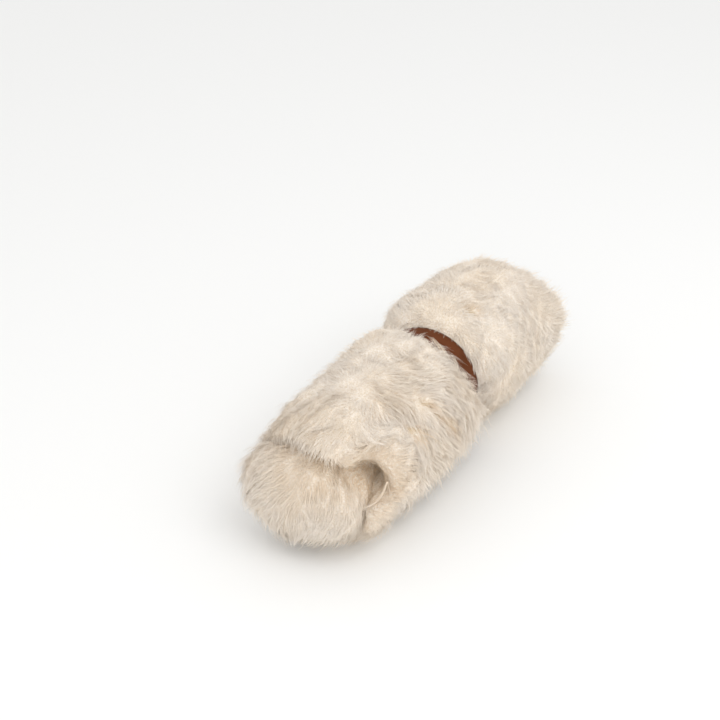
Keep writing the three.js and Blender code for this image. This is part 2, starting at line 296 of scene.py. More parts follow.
in_groove = np.concatenate([groove.ravel(), [0, 0]])
thick = np.clip(1 - bare * 1.6, 0, 1) * (0.3 + 0.7 * under) * (1 - in_groove)
add_attribute(mat_mesh, "thick", thick * (1 - 0.9 * parted(lie_x, lie_angle, 3.0)))
add_attribute(mat_mesh, "gather", 0.2 + 0.3 * shaggy)
add_attribute(mat_mesh, "unruly", 0.6 + 0.2 * shaggy)
# Painted shade in a yellower cream at the mouth of the hollow, and the yellower roots along the partings
add_attribute(mat_mesh, "warm", np.maximum(0.5 * at_rim * beside_hollow, parted(lie_x, lie_angle, 7.0)))
add_attribute(mat_mesh, "parted", parted(lie_x, lie_angle, 4.5))
outer_fleece = add_object("outer_fleece", mat_mesh)


# The inner turns
# The turns inside the outer one push out of the near end as one soft mushroom of wool, sagging to
# the side away from the hollow.
INNER_SIDE, INNER_DROP = 19 * MM, -4 * MM
INNER_WIDE, INNER_TALL = 1.04, 0.98
INNER_AROUND = 120
INNER_FULL_SIDE = math.radians(-38)
INNER_LOW_SIDE = math.radians(-132)
INNER_FAR_SIDE = math.radians(112)
INNER_OPEN_SIDE, INNER_OPEN_RISE = math.radians(-100), 21
INNER_FAR_RISE, INNER_FAR_FROM = 6, -225
INNER_SPACING = 4.0

# Along the roll in mm, radius in mm, and how far its full and low sides swell
INNER_PROFILE = [
    (-294, 10, 0), (-292, 26, 0), (-287, 45, 2), (-275, 60, 6), (-256, 66, 9),
    (-237, 63, 9), (-220, 56, 8), (-200, 49, 6), (-176, 46, 3), (-136, 44, 0),
]

inner_rows = profile_points(INNER_PROFILE, INNER_SPACING)
inner_angle = np.linspace(0, 2 * math.pi, INNER_AROUND, endpoint=False)[None, :]
inner_x, inner_radius = inner_rows[:, 0, None], inner_rows[:, 1, None] * MM
inner_lift = 0.4 * np.maximum(0, np.cos(inner_angle - INNER_FULL_SIDE)) ** 4
inner_lift = inner_lift + 0.5 * np.maximum(0, np.cos(inner_angle - INNER_LOW_SIDE)) ** 4
inner_lift = inner_rows[:, 2, None] * inner_lift
far_rise = INNER_FAR_RISE * np.cos(inner_angle - INNER_FAR_SIDE)
inner_lift = inner_lift + far_rise * smooth_step((INNER_FAR_FROM - inner_x) / 20)
open_side = np.maximum(0, np.cos(inner_angle - INNER_OPEN_SIDE)) ** 4
inner_lift = inner_lift + INNER_OPEN_RISE * open_side * smooth_step((inner_x + 292) / 22)
inner_radius = inner_radius + inner_lift * MM + 0.6 * tuft_height(inner_x, inner_angle)
inner_rings = np.stack([
    inner_x * MM + ALONG_SHIFT + 0 * inner_angle,
    AXIS.y + INNER_SIDE + INNER_WIDE * inner_radius * np.sin(inner_angle),
    np.maximum(FLOOR_GAP, AXIS.z + INNER_DROP + INNER_TALL * inner_radius * np.cos(inner_angle)),
], axis=-1)
inner_mesh = closed_mesh("inner_turns", inner_rings, [inner_rings[0].mean(0), inner_rings[-1].mean(0)])
inner_points, inner_normals = mesh_points(inner_mesh), mesh_normals(inner_mesh)
inner_lie = (inner_points[:, 0] - ALONG_SHIFT) / MM
spread = inner_points - np.array([0, AXIS.y - 0.035, AXIS.z + 0.085])
spread[:, 0] = 0
spread /= np.maximum(np.linalg.norm(spread, axis=1, keepdims=True), 1e-6)
inner_lean = comb_direction(inner_points, inner_normals, -0.5, 0.35, 0, 0.25, 8)
front = smooth_step((-228 - inner_lie) / 20)
hollow_side = smooth_step((AXIS.y + 10 * MM - inner_points[:, 1]) / (40 * MM))
inner_comb = inner_lean + 1.2 * spread * front[:, None]
inner_comb[:, 0] -= 1.2 * (1 - front) + 0.3 * front
inner_comb -= inner_normals * (inner_comb * inner_normals).sum(1, keepdims=True)
inner_comb /= np.maximum(np.linalg.norm(inner_comb, axis=1, keepdims=True), 1e-6)
inner_under = smooth_step((inner_points[:, 2] - 4 * MM) / (26 * MM))
inner_length = (12 + 10 * front - 4 * front * hollow_side) * (0.4 + 0.6 * inner_under) * MM
add_attribute(inner_mesh, "comb", inner_comb * inner_length[:, None])
add_attribute(inner_mesh, "loft", (5 + 2 * front - 1 * front * hollow_side) * (0.3 + 0.7 * inner_under) * MM)
add_attribute(inner_mesh, "thick", smooth_step((-150 - inner_lie) / 20))
add_attribute(inner_mesh, "gather", 0.15 + 0.2 * front)
add_attribute(inner_mesh, "unruly", 0.4 + 0.3 * front)
# Painted shade in a yellower cream on the inner turns: inside the roll behind the front, and on the top
# under the outer turn's lip, less on the side away from the hollow
high = smooth_step((inner_points[:, 2] - AXIS.z + 25 * MM) / (60 * MM))
far_side = smooth_step((inner_points[:, 1] - AXIS.y - 5 * MM) / (45 * MM))
add_attribute(inner_mesh, "warm", np.clip(0.6 * (1 - front) + 0.45 * high * (1 - 0.8 * far_side), 0, 1))
inner_turns = add_object("inner_turns", inner_mesh)


# The wool
# Long cream sheep's wool. Each strand stands up from the mat, leans over the way the fleece is combed
# and gathers with its neighbours into a soft lock. A few reach further and stand off as wisps.


class Tree:
    """A geometry node tree, with short calls for the sums that it needs."""

    def __init__(self, name, inputs):
        self.group = bpy.data.node_groups.new(name, "GeometryNodeTree")
        face = self.group.interface
        face.new_socket("Geometry", in_out="INPUT", socket_type="NodeSocketGeometry")
        self.identifiers = {}
        for label, kind, value in inputs:
            socket = face.new_socket(label, in_out="INPUT", socket_type=kind)
            if value is not None:
                socket.default_value = value
            self.identifiers[label] = socket.identifier
        face.new_socket("Geometry", in_out="OUTPUT", socket_type="NodeSocketGeometry")
        self.entry = self.group.nodes.new("NodeGroupInput").outputs
        self.exit = self.group.nodes.new("NodeGroupOutput").inputs

    def node(self, kind, settings=None, **links):
        made = self.group.nodes.new(kind)
        for name, value in (settings or {}).items():
            setattr(made, name, value)
        for name, value in links.items():
            self.feed(made.inputs[name.replace("_", " ")], value)
        return made.outputs

    def feed(self, socket, value):
        if isinstance(value, bpy.types.NodeSocket):
            self.group.links.new(value, socket)
        else:
            socket.default_value = value

    def sum(self, operation, *values):
        made = self.group.nodes.new("ShaderNodeMath")
        made.operation = operation
        for socket, value in zip(made.inputs, values):
            self.feed(socket, value)
        return made.outputs[0]

    def vector(self, operation, *values):
        made = self.group.nodes.new("ShaderNodeVectorMath")
        made.operation = operation
        sockets = [made.inputs[0], made.inputs[3 if operation == "SCALE" else 1]]
        for socket, value in zip(sockets, values):
            self.feed(socket, value)
        return made.outputs["Value" if operation in ("DOT_PRODUCT", "LENGTH") else "Vector"]

    def read(self, name, kind="FLOAT"):
        return self.node("GeometryNodeInputNamedAttribute", {"data_type": kind}, Name=name)["Attribute"]

    def store(self, geometry, name, value, kind="FLOAT", domain="POINT"):
        made = self.group.nodes.new("GeometryNodeStoreNamedAttribute")
        made.data_type, made.domain = kind, domain
        made.inputs["Name"].default_value = name
        self.feed(made.inputs["Geometry"], geometry)
        self.feed(made.inputs["Value"], value)
        return made.outputs[0]

    def random(self, low, high, seed):
        made = self.group.nodes.new("FunctionNodeRandomValue")
        made.inputs[2].default_value, made.inputs[3].default_value = low, high
        self.feed(made.inputs["Seed"], seed)
        return made.outputs[1]


FLATNESS = 0.35
DRIFT_WAVES, STRAY_WAVES = 60.0, 900.0
WANDER = 8 * MM
ROOT_SUNK = 2 * MM
WOOL_LOWEST = 0.6 * MM


def wool_tree():
    tree = Tree("strands of wool", [
        ("Density", "NodeSocketFloat", 200000.0),
        ("From", "NodeSocketFloat", -1.0),
        ("To", "NodeSocketFloat", 1.0),
        ("Width", "NodeSocketFloat", 0.0009),
        ("Lock size", "NodeSocketFloat", 0.02),
        ("Seed", "NodeSocketInt", 1),
        ("Material", "NodeSocketMaterial", None),
    ])
    place = tree.node("GeometryNodeInputPosition")["Position"]
    apart = tree.node("ShaderNodeSeparateXYZ", Vector=place)
    inside = tree.sum("MULTIPLY", tree.sum("GREATER_THAN", apart["X"], tree.entry["From"]),
                      tree.sum("LESS_THAN", apart["X"], tree.entry["To"]))
    density = tree.sum("MULTIPLY", tree.sum("MULTIPLY", inside, tree.read("thick")), tree.entry["Density"])
    scattered = tree.node("GeometryNodeDistributePointsOnFaces", {"distribute_method": "RANDOM"},
                          Mesh=tree.entry["Geometry"], Density=density, Seed=tree.entry["Seed"])
    points = tree.store(scattered["Points"], "root", place, "FLOAT_VECTOR")
    points = tree.store(points, "upright", scattered["Normal"], "FLOAT_VECTOR")
    # Each strand takes the painted shade and the parted roots' tone of the mat below it
    points = tree.store(points, "tint", tree.read("warm"))
    points = tree.store(points, "own", tree.random(0.0, 1.0, tree.entry["Seed"]))
    wisp = tree.sum("POWER", tree.random(0.0, 1.0, tree.sum("ADD", tree.entry["Seed"], 7)), 5.0)
    points = tree.store(points, "own_reach", tree.sum("MULTIPLY_ADD", wisp, 0.8, 0.8))
    points = tree.store(points, "own_loft", tree.sum("MULTIPLY_ADD", wisp, 1.2, 0.45))
    points = tree.store(points, "own_width", tree.sum("MULTIPLY_ADD", wisp, -0.45, 1.0))

    cone = tree.node("GeometryNodeMeshCone", {"fill_type": "NGON"}, Vertices=3, Side_Segments=2,
                     Radius_Top=0.0, Radius_Bottom=1.0, Depth=1.0)["Mesh"]
    cone = tree.store(cone, "cone", place, "FLOAT_VECTOR")
    planted = tree.node("GeometryNodeInstanceOnPoints", Points=points, Instance=cone)["Instances"]
    strands = tree.node("GeometryNodeRealizeInstances", Geometry=planted)["Geometry"]

    shape = tree.node("ShaderNodeSeparateXYZ", Vector=tree.read("cone", "FLOAT_VECTOR"))
    along = tree.sum("POWER", shape["Z"], 0.7)
    root, upright = tree.read("root", "FLOAT_VECTOR"), tree.read("upright", "FLOAT_VECTOR")
    comb = tree.vector("SCALE", tree.read("comb", "FLOAT_VECTOR"), tree.read("own_reach"))
    loft = tree.sum("MULTIPLY", tree.read("loft"), tree.read("own_loft"))
    left = tree.sum("SUBTRACT", 1.0, along)
    rise = tree.sum("MULTIPLY", loft, tree.sum("SUBTRACT", 1.0, tree.sum("POWER", left, 2.6)))
    reach = tree.sum("POWER", along, 1.5)
    path = tree.vector("ADD", root, tree.vector("SCALE", upright, tree.sum("SUBTRACT", rise, ROOT_SUNK)))
    path = tree.vector("ADD", path, tree.vector("SCALE", comb, reach))

    cells = tree.node("ShaderNodeTexVoronoi", {"feature": "F1"}, Vector=root,
                      Scale=tree.sum("DIVIDE", 1.0, tree.entry["Lock size"]))["Position"]
    pull = tree.vector("SUBTRACT", cells, root)
    pull = tree.vector("SUBTRACT", pull,
                       tree.vector("SCALE", upright, tree.vector("DOT_PRODUCT", pull, upright)))
    gather = tree.sum("MULTIPLY", tree.read("gather"), tree.sum("POWER", along, 1.3))
    path = tree.vector("ADD", path, tree.vector("SCALE", pull, gather))

    drift_at = tree.vector("ADD", tree.vector("SCALE", root, DRIFT_WAVES),
                           tree.vector("SCALE", upright, tree.sum("MULTIPLY", along, 1.4)))
    drift = tree.node("ShaderNodeTexNoise", Vector=drift_at, Scale=1.0, Detail=2.0)["Color"]
    drift = tree.vector("SCALE", tree.vector("SUBTRACT", drift, (0.5, 0.5, 0.5)), tree.read("unruly"))
    lifted = tree.sum("MULTIPLY", tree.vector("DOT_PRODUCT", drift, upright), 0.75)
    drift = tree.vector("SUBTRACT", drift, tree.vector("SCALE", upright, lifted))
    path = tree.vector("ADD", path, tree.vector("SCALE", drift, tree.sum("MULTIPLY", along, WANDER)))
    stray_at = tree.vector("SCALE", root, STRAY_WAVES)
    stray = tree.node("ShaderNodeTexNoise", Vector=stray_at, Scale=1.0, Detail=0.0)["Color"]
    stray = tree.vector("SCALE", tree.vector("SUBTRACT", stray, (0.5, 0.5, 0.5)), tree.read("unruly"))
    lifted = tree.sum("MULTIPLY", tree.vector("DOT_PRODUCT", stray, upright), 0.6)
    stray = tree.vector("SUBTRACT", stray, tree.vector("SCALE", upright, lifted))
    path = tree.vector("ADD", path, tree.vector("SCALE", stray, tree.sum("MULTIPLY", reach, WANDER)))

    heading = tree.vector("ADD", tree.vector("SCALE", comb, 1.3), tree.vector("SCALE", upright, loft))
    side = tree.vector("NORMALIZE", tree.vector("CROSS_PRODUCT", upright, heading))
    over = tree.vector("NORMALIZE", tree.vector("CROSS_PRODUCT", heading, side))
    swelling = tree.sum("MULTIPLY_ADD", along, 2.2, 0.35)
    width = tree.sum("MULTIPLY", tree.sum("MULTIPLY", tree.entry["Width"], tree.read("own_width")), swelling)
    wide = tree.sum("MULTIPLY", shape["Y"], width)
    deep = tree.sum("MULTIPLY", tree.sum("MULTIPLY", shape["X"], width), -FLATNESS)
    path = tree.vector("ADD", path, tree.vector("SCALE", side, wide))
    path = tree.vector("ADD", path, tree.vector("SCALE", over, deep))
    final = tree.node("ShaderNodeSeparateXYZ", Vector=path)
    path = tree.node("ShaderNodeCombineXYZ", X=final["X"], Y=final["Y"],
                     Z=tree.sum("MAXIMUM", final["Z"], WOOL_LOWEST))["Vector"]
    strands = tree.node("GeometryNodeSetPosition", Geometry=strands, Position=path)["Geometry"]
    strands = tree.store(strands, "along", along)
    for spare in ("root", "comb", "loft", "gather", "thick", "unruly", "warm",
                  "own_reach", "own_loft", "own_width", "cone"):
        strands = tree.node("GeometryNodeRemoveAttribute", Geometry=strands, Name=spare)["Geometry"]
    strands = tree.node("GeometryNodeSetShadeSmooth", Geometry=strands)["Geometry"]
    strands = tree.node("GeometryNodeSetMaterial", Geometry=strands, Material=tree.entry["Material"])
    tree.feed(tree.exit[0], strands["Geometry"])
    return tree


SOFT_LIGHT = 0.25


def soften(mesh):
    """Turns each strand's shading partly towards the fleece below, as light is spread within wool."""
    lift = mesh.attributes["upright"]
    upright = np.empty(len(mesh.vertices) * 3, np.float32)
    lift.data.foreach_get("vector", upright)
    normals = SOFT_LIGHT * upright.reshape(-1, 3) + (1 - SOFT_LIGHT) * mesh_normals(mesh)
    normals /= np.maximum(np.linalg.norm(normals, axis=1, keepdims=True), 1e-6)
    mesh.attributes.remove(lift)
    mesh.normals_split_custom_set_from_vertices(normals)


def grow(tree, name, ground, **values):
    """A mesh object of what a node tree grows on another object, with no modifier left."""
    holder = add_object(name, ground.data)
    modifier = holder.modifiers.new("grow", "NODES")
    modifier.node_group = tree.group
    for label, value in values.items():
        modifier[tree.identifiers[label.replace("_", " ")]] = value
    seen = holder.evaluated_get(bpy.context.evaluated_depsgraph_get())
    mesh = bpy.data.meshes.new_from_object(seen)
    mesh.name = name
    holder.modifiers.remove(modifier)
    holder.data = mesh
    soften(mesh)
    return holder


def add_node(tree, kind, **values):
    """A node with its sockets set or linked by name."""
    node = tree.nodes.new(kind)
    for name, value in values.items():
        join(tree, value, node.inputs[name.replace("_", " ")])
    return node


def join(tree, value, socket):
    if isinstance(value, bpy.types.NodeSocket):
        tree.links.new(value, socket)
    elif isinstance(value, tuple) and len(value) < len(socket.default_value):
        socket.default_value = (*value, 1)
    else:
        socket.default_value = value


def mixed(tree, mode, share, first, second):
    """Two colours mixed."""
    node = tree.nodes.new("ShaderNodeMix")
    node.data_type = "RGBA"
    node.blend_type = mode
    for place, value in ((0, share), (6, first), (7, second)):
        join(tree, value, node.inputs[place])
    return node.outputs[2]


def between(tree, value, low, high):
    """How far a value lies from low to high, from 0 to 1."""
    node = add_node(tree, "ShaderNodeMapRange", Value=value, From_Min=low, From_Max=high)
    node.interpolation_type = "SMOOTHSTEP"
    return node.outputs["Result"]


def effect(name, inputs, outputs):
    """An empty shader node group with its named sockets."""
    group = bpy.data.node_groups.new(name, "ShaderNodeTree")
    for label, kind, value in inputs:
        group.interface.new_socket(label, in_out="INPUT", socket_type=kind).default_value = value
    for label, kind in outputs:
        group.interface.new_socket(label, in_out="OUTPUT", socket_type=kind)
    return group, group.nodes.new("NodeGroupInput").outputs, group.nodes.new("NodeGroupOutput").inputs


def mottling_effect():
    """A colour that drifts softly from pale to dark in patches, as undyed wool and hide do."""
    group, given, result = effect(
        "mottling",
        [("Size", "NodeSocketFloat", 0.05), ("Pale", "NodeSocketColor", (1, 1, 1, 1)),
         ("Dark", "NodeSocketColor", (0.5, 0.5, 0.5, 1))],
        [("Colour", "NodeSocketColor")])
    where = group.nodes.new("ShaderNodeTexCoord").outputs["Object"]
    spacing = add_node(group, "ShaderNodeMath")
    spacing.operation = "DIVIDE"
    spacing.inputs[0].default_value = 1.0
    group.links.new(given["Size"], spacing.inputs[1])
    patches = add_node(group, "ShaderNodeTexNoise", Vector=where, Scale=spacing.outputs[0], Detail=4.0)
    share = between(group, patches.outputs["Fac"], 0.34, 0.70)
    join(group, mixed(group, "MIX", share, given["Pale"], given["Dark"]), result["Colour"])
    return group


def nap_effect():
    """Short fibres seen close to: a height for the bump, and a colour with painted shade between them."""
    group, given, result = effect(
        "nap",
        [("Size", "NodeSocketFloat", 0.002), ("Colour", "NodeSocketColor", (1, 1, 1, 1)),
         ("Between", "NodeSocketColor", (0.8, 0.8, 0.8, 1))],
        [("Colour", "NodeSocketColor"), ("Height", "NodeSocketFloat")])
    where = group.nodes.new("ShaderNodeTexCoord").outputs["Object"]
    spacing = add_node(group, "ShaderNodeMath")
    spacing.operation = "DIVIDE"
    spacing.inputs[0].default_value = 1.0
    group.links.new(given["Size"], spacing.inputs[1])
    fibres = add_node(group, "ShaderNodeTexNoise", Vector=where, Scale=spacing.outputs[0], Detail=3.0)
    share = between(group, fibres.outputs["Fac"], 0.35, 0.65)
    shade = mixed(group, "MIX", share, given["Between"], (1.0, 1.0, 1.0))
    join(group, mixed(group, "MULTIPLY", 1.0, given["Colour"], shade), result["Colour"])
    join(group, fibres.outputs["Fac"], result["Height"])
    return group


mottling, nap = mottling_effect(), nap_effect()


def place_effect(tree, group, **values):
    """A shader node group placed in a material with its own values."""
    node = tree.nodes.new("ShaderNodeGroup")
    node.node_tree = group
    for name, value in values.items():
        join(tree, value, node.inputs[name])
    return node.outputs


def new_material(name, roughness, gloss):
    material = bpy.data.materials.new(name)
    material.use_nodes = True
    tree = material.node_tree
    tree.nodes.clear()
    surface = tree.nodes.new("ShaderNodeBsdfPrincipled")
    surface.inputs["Roughness"].default_value = roughness
    surface.inputs["Specular IOR Level"].default_value = gloss
    output = tree.nodes.new("ShaderNodeOutputMaterial")
    tree.links.new(surface.outputs[0], output.inputs[0])
    return material, tree, surface.inputs


def attribute(tree, name):
    node = tree.nodes.new("ShaderNodeAttribute")
    node.attribute_name = name
    return node.outputs["Fac"]


TIP_CREAM = (0.99, 0.91, 0.82)
WARM_CREAM = (0.98, 0.88, 0.76)
# Yellower roots, and painted shade deep in the fleece
ROOT_AND_SHADE_CREAM = (0.98, 0.90, 0.79)
# Painted shade by the hollow and on the inner turns; the same cream is the parted roots' and loose locks'
# yellower tone
SHADED_CREAM = (0.92, 0.80, 0.64)
PARTED_YELLOW = (0.82, 0.66, 0.42)
# Painted shade between the fibres of the underwool
SHADE_BETWEEN_FIBRES = (0.86, 0.81, 0.73)
DARKEST_STRAND = (0.95, 0.94, 0.92)
TUFT_PATCH = 70 * MM
FIBRE_SIZE = 2.4 * MM


def underwool_material():
    material, tree, surface = new_material("underwool", roughness=0.9, gloss=0.0)
    cream = place_effect(tree, mottling, Size=TUFT_PATCH, Pale=TIP_CREAM, Dark=WARM_CREAM)["Colour"]
    cream = mixed(tree, "MIX", attribute(tree, "parted"), cream, PARTED_YELLOW)
    # The underwool's colour with painted shade between its fibres.
    fibres = place_effect(tree, nap, Size=FIBRE_SIZE, Colour=cream, Between=SHADE_BETWEEN_FIBRES)
    join(tree, fibres["Colour"], surface["Base Color"])
    bump = add_node(tree, "ShaderNodeBump", Height=fibres["Height"], Distance=0.004, Strength=0.7)
    join(tree, bump.outputs[0], surface["Normal"])
    return material


def long_wool_material():
    """Cream at the tips; warmer towards the root, for yellower roots and painted shade deep in the fleece;
    yellowish where parted, and as painted shade by the hollow and on the inner turns.
    """
    material, tree, surface = new_material("long wool", roughness=0.9, gloss=0.0)
    cream = place_effect(tree, mottling, Size=TUFT_PATCH, Pale=TIP_CREAM, Dark=WARM_CREAM)["Colour"]
    # Towards the root the cream turns warmer: the roots' own yellower tone, and painted shade deep in the
    # fleece.
    depth = between(tree, attribute(tree, "along"), 0.0, 0.4)
    cream = mixed(tree, "MULTIPLY", 1.0, cream, mixed(tree, "MIX", depth, ROOT_AND_SHADE_CREAM, (1.0, 1.0, 1.0)))
    # Mixed in by each strand's share: painted shade, and the yellower tone of parted roots and loose locks
    cream = mixed(tree, "MULTIPLY", attribute(tree, "tint"), cream, SHADED_CREAM)
    each = mixed(tree, "MIX", attribute(tree, "own"), DARKEST_STRAND, (1.0, 1.0, 1.0))
    join(tree, mixed(tree, "MULTIPLY", 1.0, cream, each), surface["Base Color"])
    return material


mat_wool, strand_wool = underwool_material(), long_wool_material()
for ground in (outer_fleece, inner_turns):
    ground.data.materials.append(mat_wool)

strands_tree = wool_tree()
THIN_OUT = 1.0
WOOL_DENSITY = 242000 * THIN_OUT
STRAND_WIDTH, LOCK_SIZE = 0.46 * MM, 21 * MM
wool_pieces = []
for seed, (name, ground, start, stop) in enumerate([
    ("wool_near_rim", outer_fleece, -300, -175),
    ("wool_near_back", outer_fleece, -175, -100),
    ("wool_near_middle", outer_fleece, -100, -36),
    ("wool_near_strap", outer_fleece, -36, 30),
    ("wool_far_strap", outer_fleece, 40, 128),
    ("wool_far_middle", outer_fleece, 128, 205),
    ("wool_far_end", outer_fleece, 205, 320),
    ("wool_inner_turns", inner_turns, -300, -140),
]):
    wool_pieces.append(grow(
        strands_tree, name, ground, Density=WOOL_DENSITY, From=start * MM + ALONG_SHIFT,
        To=stop * MM + ALONG_SHIFT, Width=STRAND_WIDTH, Lock_size=LOCK_SIZE, Seed=seed + 1,
        Material=strand_wool,
    ))

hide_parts("fleece_roll")
for piece in [outer_fleece, inner_turns, *wool_pieces]:
    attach(piece, "root")


# The loose locks
# Single locks of the same wool that have come away from the coat: a curl and a wisp at the mouth of
# the hollow, and wisps that lie over the near edge of the strap.
LOOSE_STRANDS, LOOSE_RINGS = 12, 12
LOOSE_TINT = 0.3
THIRD_TURN = 2.0944

# Each lock's way, as places along the roll in mm, round it in degrees and out from its axis in mm
HOLLOW_CURL = [(-211, -80, 81), (-218, -88, 80), (-230, -91, 79), (-241, -90, 78), (-253, -88, 77),
               (-265, -85, 76), (-277, -82, 74)]
HOLLOW_WISP = [(-210, -80, 82), (-212, -86, 84), (-214, -90, 87), (-222, -92, 88)]
STRAP_WISPS = [
    [(0, -33, 86), (9, -25, 88), (18, -15, 87), (27, -6, 83)],
    [(2, -36, 86), (11, -30, 87), (19, -23, 85), (24, -17, 81)],
    [(3, -48, 85), (11, -46, 86), (19, -41, 83), (25, -37, 80)],
    [(3, -12, 85), (10, -9, 85), (17, -6, 83), (22, -5, 80)],
    [(4, -62, 87), (12, -60, 87), (19, -57, 84), (24, -55, 80)],
    [(4, 8, 84), (11, 10, 84), (17, 13, 82), (22, 14, 80)],
]


def lock_way(places):
    """Points on a smooth line through a lock's places, in metres."""
    way = np.array([
        (x * MM + ALONG_SHIFT, AXIS.y + out * MM * math.sin(math.radians(angle)),
         AXIS.z + out * MM * math.cos(math.radians(angle))) for x, angle, out in places])
    there = np.linspace(0, 1, LOOSE_RINGS)
    curve = np.polynomial.polynomial.Polynomial
    knots = np.linspace(0, 1, len(places))
    return np.stack([curve.fit(knots, column, 3)(there) for column in way.T], axis=1)


def loose_locks_mesh():
    chance = np.random.default_rng(21)
    points, faces, along, own = [], [], [], []
    # Each lock's places, how wide it spreads at its root and at its tip, and its strands' radius, in mm
    locks = [(HOLLOW_CURL, 0.5, 0.8, 0.36), (HOLLOW_WISP, 0.5, 0.7, 0.24)]
    locks += [(places, 3.2, 0.8, 0.3) for places in STRAP_WISPS]
    share = np.linspace(0, 1, LOOSE_RINGS)
    for places, root_spread, tip_spread, thick in locks:
        way = lock_way(places)
        heading = np.gradient(way, axis=0)
        heading /= np.linalg.norm(heading, axis=1, keepdims=True)
        across = np.cross(heading, [0.3, 0.2, 0.93])
        across /= np.linalg.norm(across, axis=1, keepdims=True)
        over = np.cross(heading, across)
        for strand in range(LOOSE_STRANDS):
            side, lift = chance.normal(0, 1, 2)
            bend = chance.uniform(-1, 1, 2)
            spread = (root_spread * (1 - share) + tip_spread * share)[:, None] * MM
            sway = np.sin(share * math.pi * 1.5)[:, None] * MM
            middle = way + across * (side * spread + bend[0] * sway)
            middle = middle + over * (0.5 * lift * spread + 0.5 * bend[1] * sway)
            reach = chance.uniform(0.75, 1.0)
            middle = np.stack([np.interp(share * reach, share, column) for column in middle.T], axis=1)
            width = (thick * (1 - share ** 3) * MM)[:, None]
            start = len(points)
            for turn in range(3):
                corner = across * math.cos(turn * THIRD_TURN) + over * math.sin(turn * THIRD_TURN)
                points.extend((middle + corner * width).tolist()[:-1])
            points.append(middle[-1].tolist())
            ring = LOOSE_RINGS - 1
            for turn in range(3):
                here, beside = start + turn * ring, start + (turn + 1) % 3 * ring
                faces += [(here + step, beside + step, beside + step + 1, here + step + 1)
                          for step in range(ring - 1)]
                faces.append((here + ring - 1, beside + ring - 1, start + 3 * ring))
            faces.append((start + 2 * ring, start + ring, start))
            along.extend(np.tile(share[:-1], 3).tolist() + [1.0])
            own.extend([chance.uniform()] * (3 * ring + 1))
    mesh = bpy.data.meshes.new("loose_locks")
    mesh.from_pydata(points, [], faces)
    mesh.shade_smooth()
    add_attribute(mesh, "along", np.clip(np.array(along) + 0.3, 0, 1))
    add_attribute(mesh, "own", own)
    add_attribute(mesh, "tint", np.full(len(own), LOOSE_TINT))
    return mesh


loose_locks = add_object("loose_locks", loose_locks_mesh())
loose_locks.data.materials.append(strand_wool)
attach(loose_locks, "root")


# The skin
# The bare side of the sheepskin, thin sueded leather that the wool grows from. It lines the outer turn,
# shows as the wall of the hollow at the near end, and winds on inwards to the middle of the roll.
SKIN_THICK = 2.4 * MM
SKIN_START = math.radians(-180)
SKIN_TURNS = 2.9
SKIN_NEAR, SKIN_TUCKED, SKIN_NEAR_INSIDE, SKIN_FAR = -235, 2, -250, 291
SKIN_FLARE, SKIN_FLARE_REACH = 3.8 * MM, 18 * MM
SKIN_INSET = 4
SKIN_STEPS, SKIN_ROWS = 340, 22


def skin_mesh():
    wound = np.linspace(0, SKIN_TURNS * 2 * math.pi, SKIN_STEPS)[:, None]
    angle = SKIN_START + wound
    inside = smooth_step((wound - math.radians(235)) / math.radians(80))
    tucked = SKIN_TUCKED * (1 - smooth_step((np.cos(angle - HOLLOW_SIDE) - 0.62) / 0.3))
    beside = math.radians(SKIN_INSET)
    rim_back = np.maximum(drawn_back(angle - beside), drawn_back(angle + beside))
    near_edge = (SKIN_NEAR + tucked) * MM + rim_back
    near_edge = near_edge * (1 - inside) + SKIN_NEAR_INSIDE * MM * inside
    waves = 1.5 * np.sin(5 * angle) + 1.0 * np.sin(11 * angle + 1)
    near_edge = near_edge + waves * MM
    far_edge = SKIN_FAR * MM + 1.2 * np.sin(7 * angle) * MM
    place = np.linspace(0, 1, SKIN_ROWS)[None, :] ** 1.6
    x = near_edge * (1 - place) + far_edge * place
    radius = (SKIN_OUTER - SKIN_PITCH * wound / (2 * math.pi)) * MM
    near = smooth_step((-80 * MM - x) / (90 * MM))
    radius = radius * (1 - 0.3 * inside * near) + 0.7 * MM * np.sin(3 * angle + x / 0.03) * (1 - inside)
    radius = radius + SKIN_FLARE * smooth_step(1 - (x - near_edge) / SKIN_FLARE_REACH) * (1 - inside)
    waist = smooth_step(1 - np.abs(x - STRAP_MIDDLE * MM) / (60 * MM))
    radius = radius * (1 - 0.12 * waist)
    side, drop = INNER_SIDE * inside * near, INNER_DROP * inside * near
    walls = []
    for offset in (SKIN_THICK / 2, -SKIN_THICK / 2):
        walls.append(np.stack([
            x + ALONG_SHIFT,
            AXIS.y + side + (radius + offset) * np.sin(angle),
            AXIS.z + drop + (radius + offset) * np.cos(angle),
        ], axis=-1))
    points = np.vstack([wall.reshape(-1, 3) for wall in walls])
    outer = np.arange(SKIN_STEPS * SKIN_ROWS).reshape(SKIN_STEPS, SKIN_ROWS)
    inner = outer + outer.size
    faces = []
    for grid, turned in ((outer, False), (inner, True)):
        quads = np.stack([grid[:-1, :-1], grid[1:, :-1], grid[1:, 1:], grid[:-1, 1:]], axis=-1)
        quads = quads.reshape(-1, 4)
        faces += (quads[:, ::-1] if turned else quads).tolist()
    border = np.concatenate([outer[:-1, 0], outer[-1, :-1], outer[:0:-1, -1], outer[0, :0:-1]])
    following = np.roll(border, -1)
    faces += [(int(b), int(a), int(a) + outer.size, int(b) + outer.size) for a, b in zip(border, following)]
    mesh = bpy.data.meshes.new("skin")
    mesh.from_pydata(points.tolist(), [], faces)
    mesh.shade_smooth()
    return mesh


SUEDE_PALE = (0.99, 0.89, 0.75)
SUEDE_DARK = (0.96, 0.84, 0.67)
# Painted shade between the suede's fibres
SUEDE_SHADE_BETWEEN = (0.97, 0.96, 0.94)
HIDE_PATCH, SUEDE_NAP = 22 * MM, 0.7 * MM


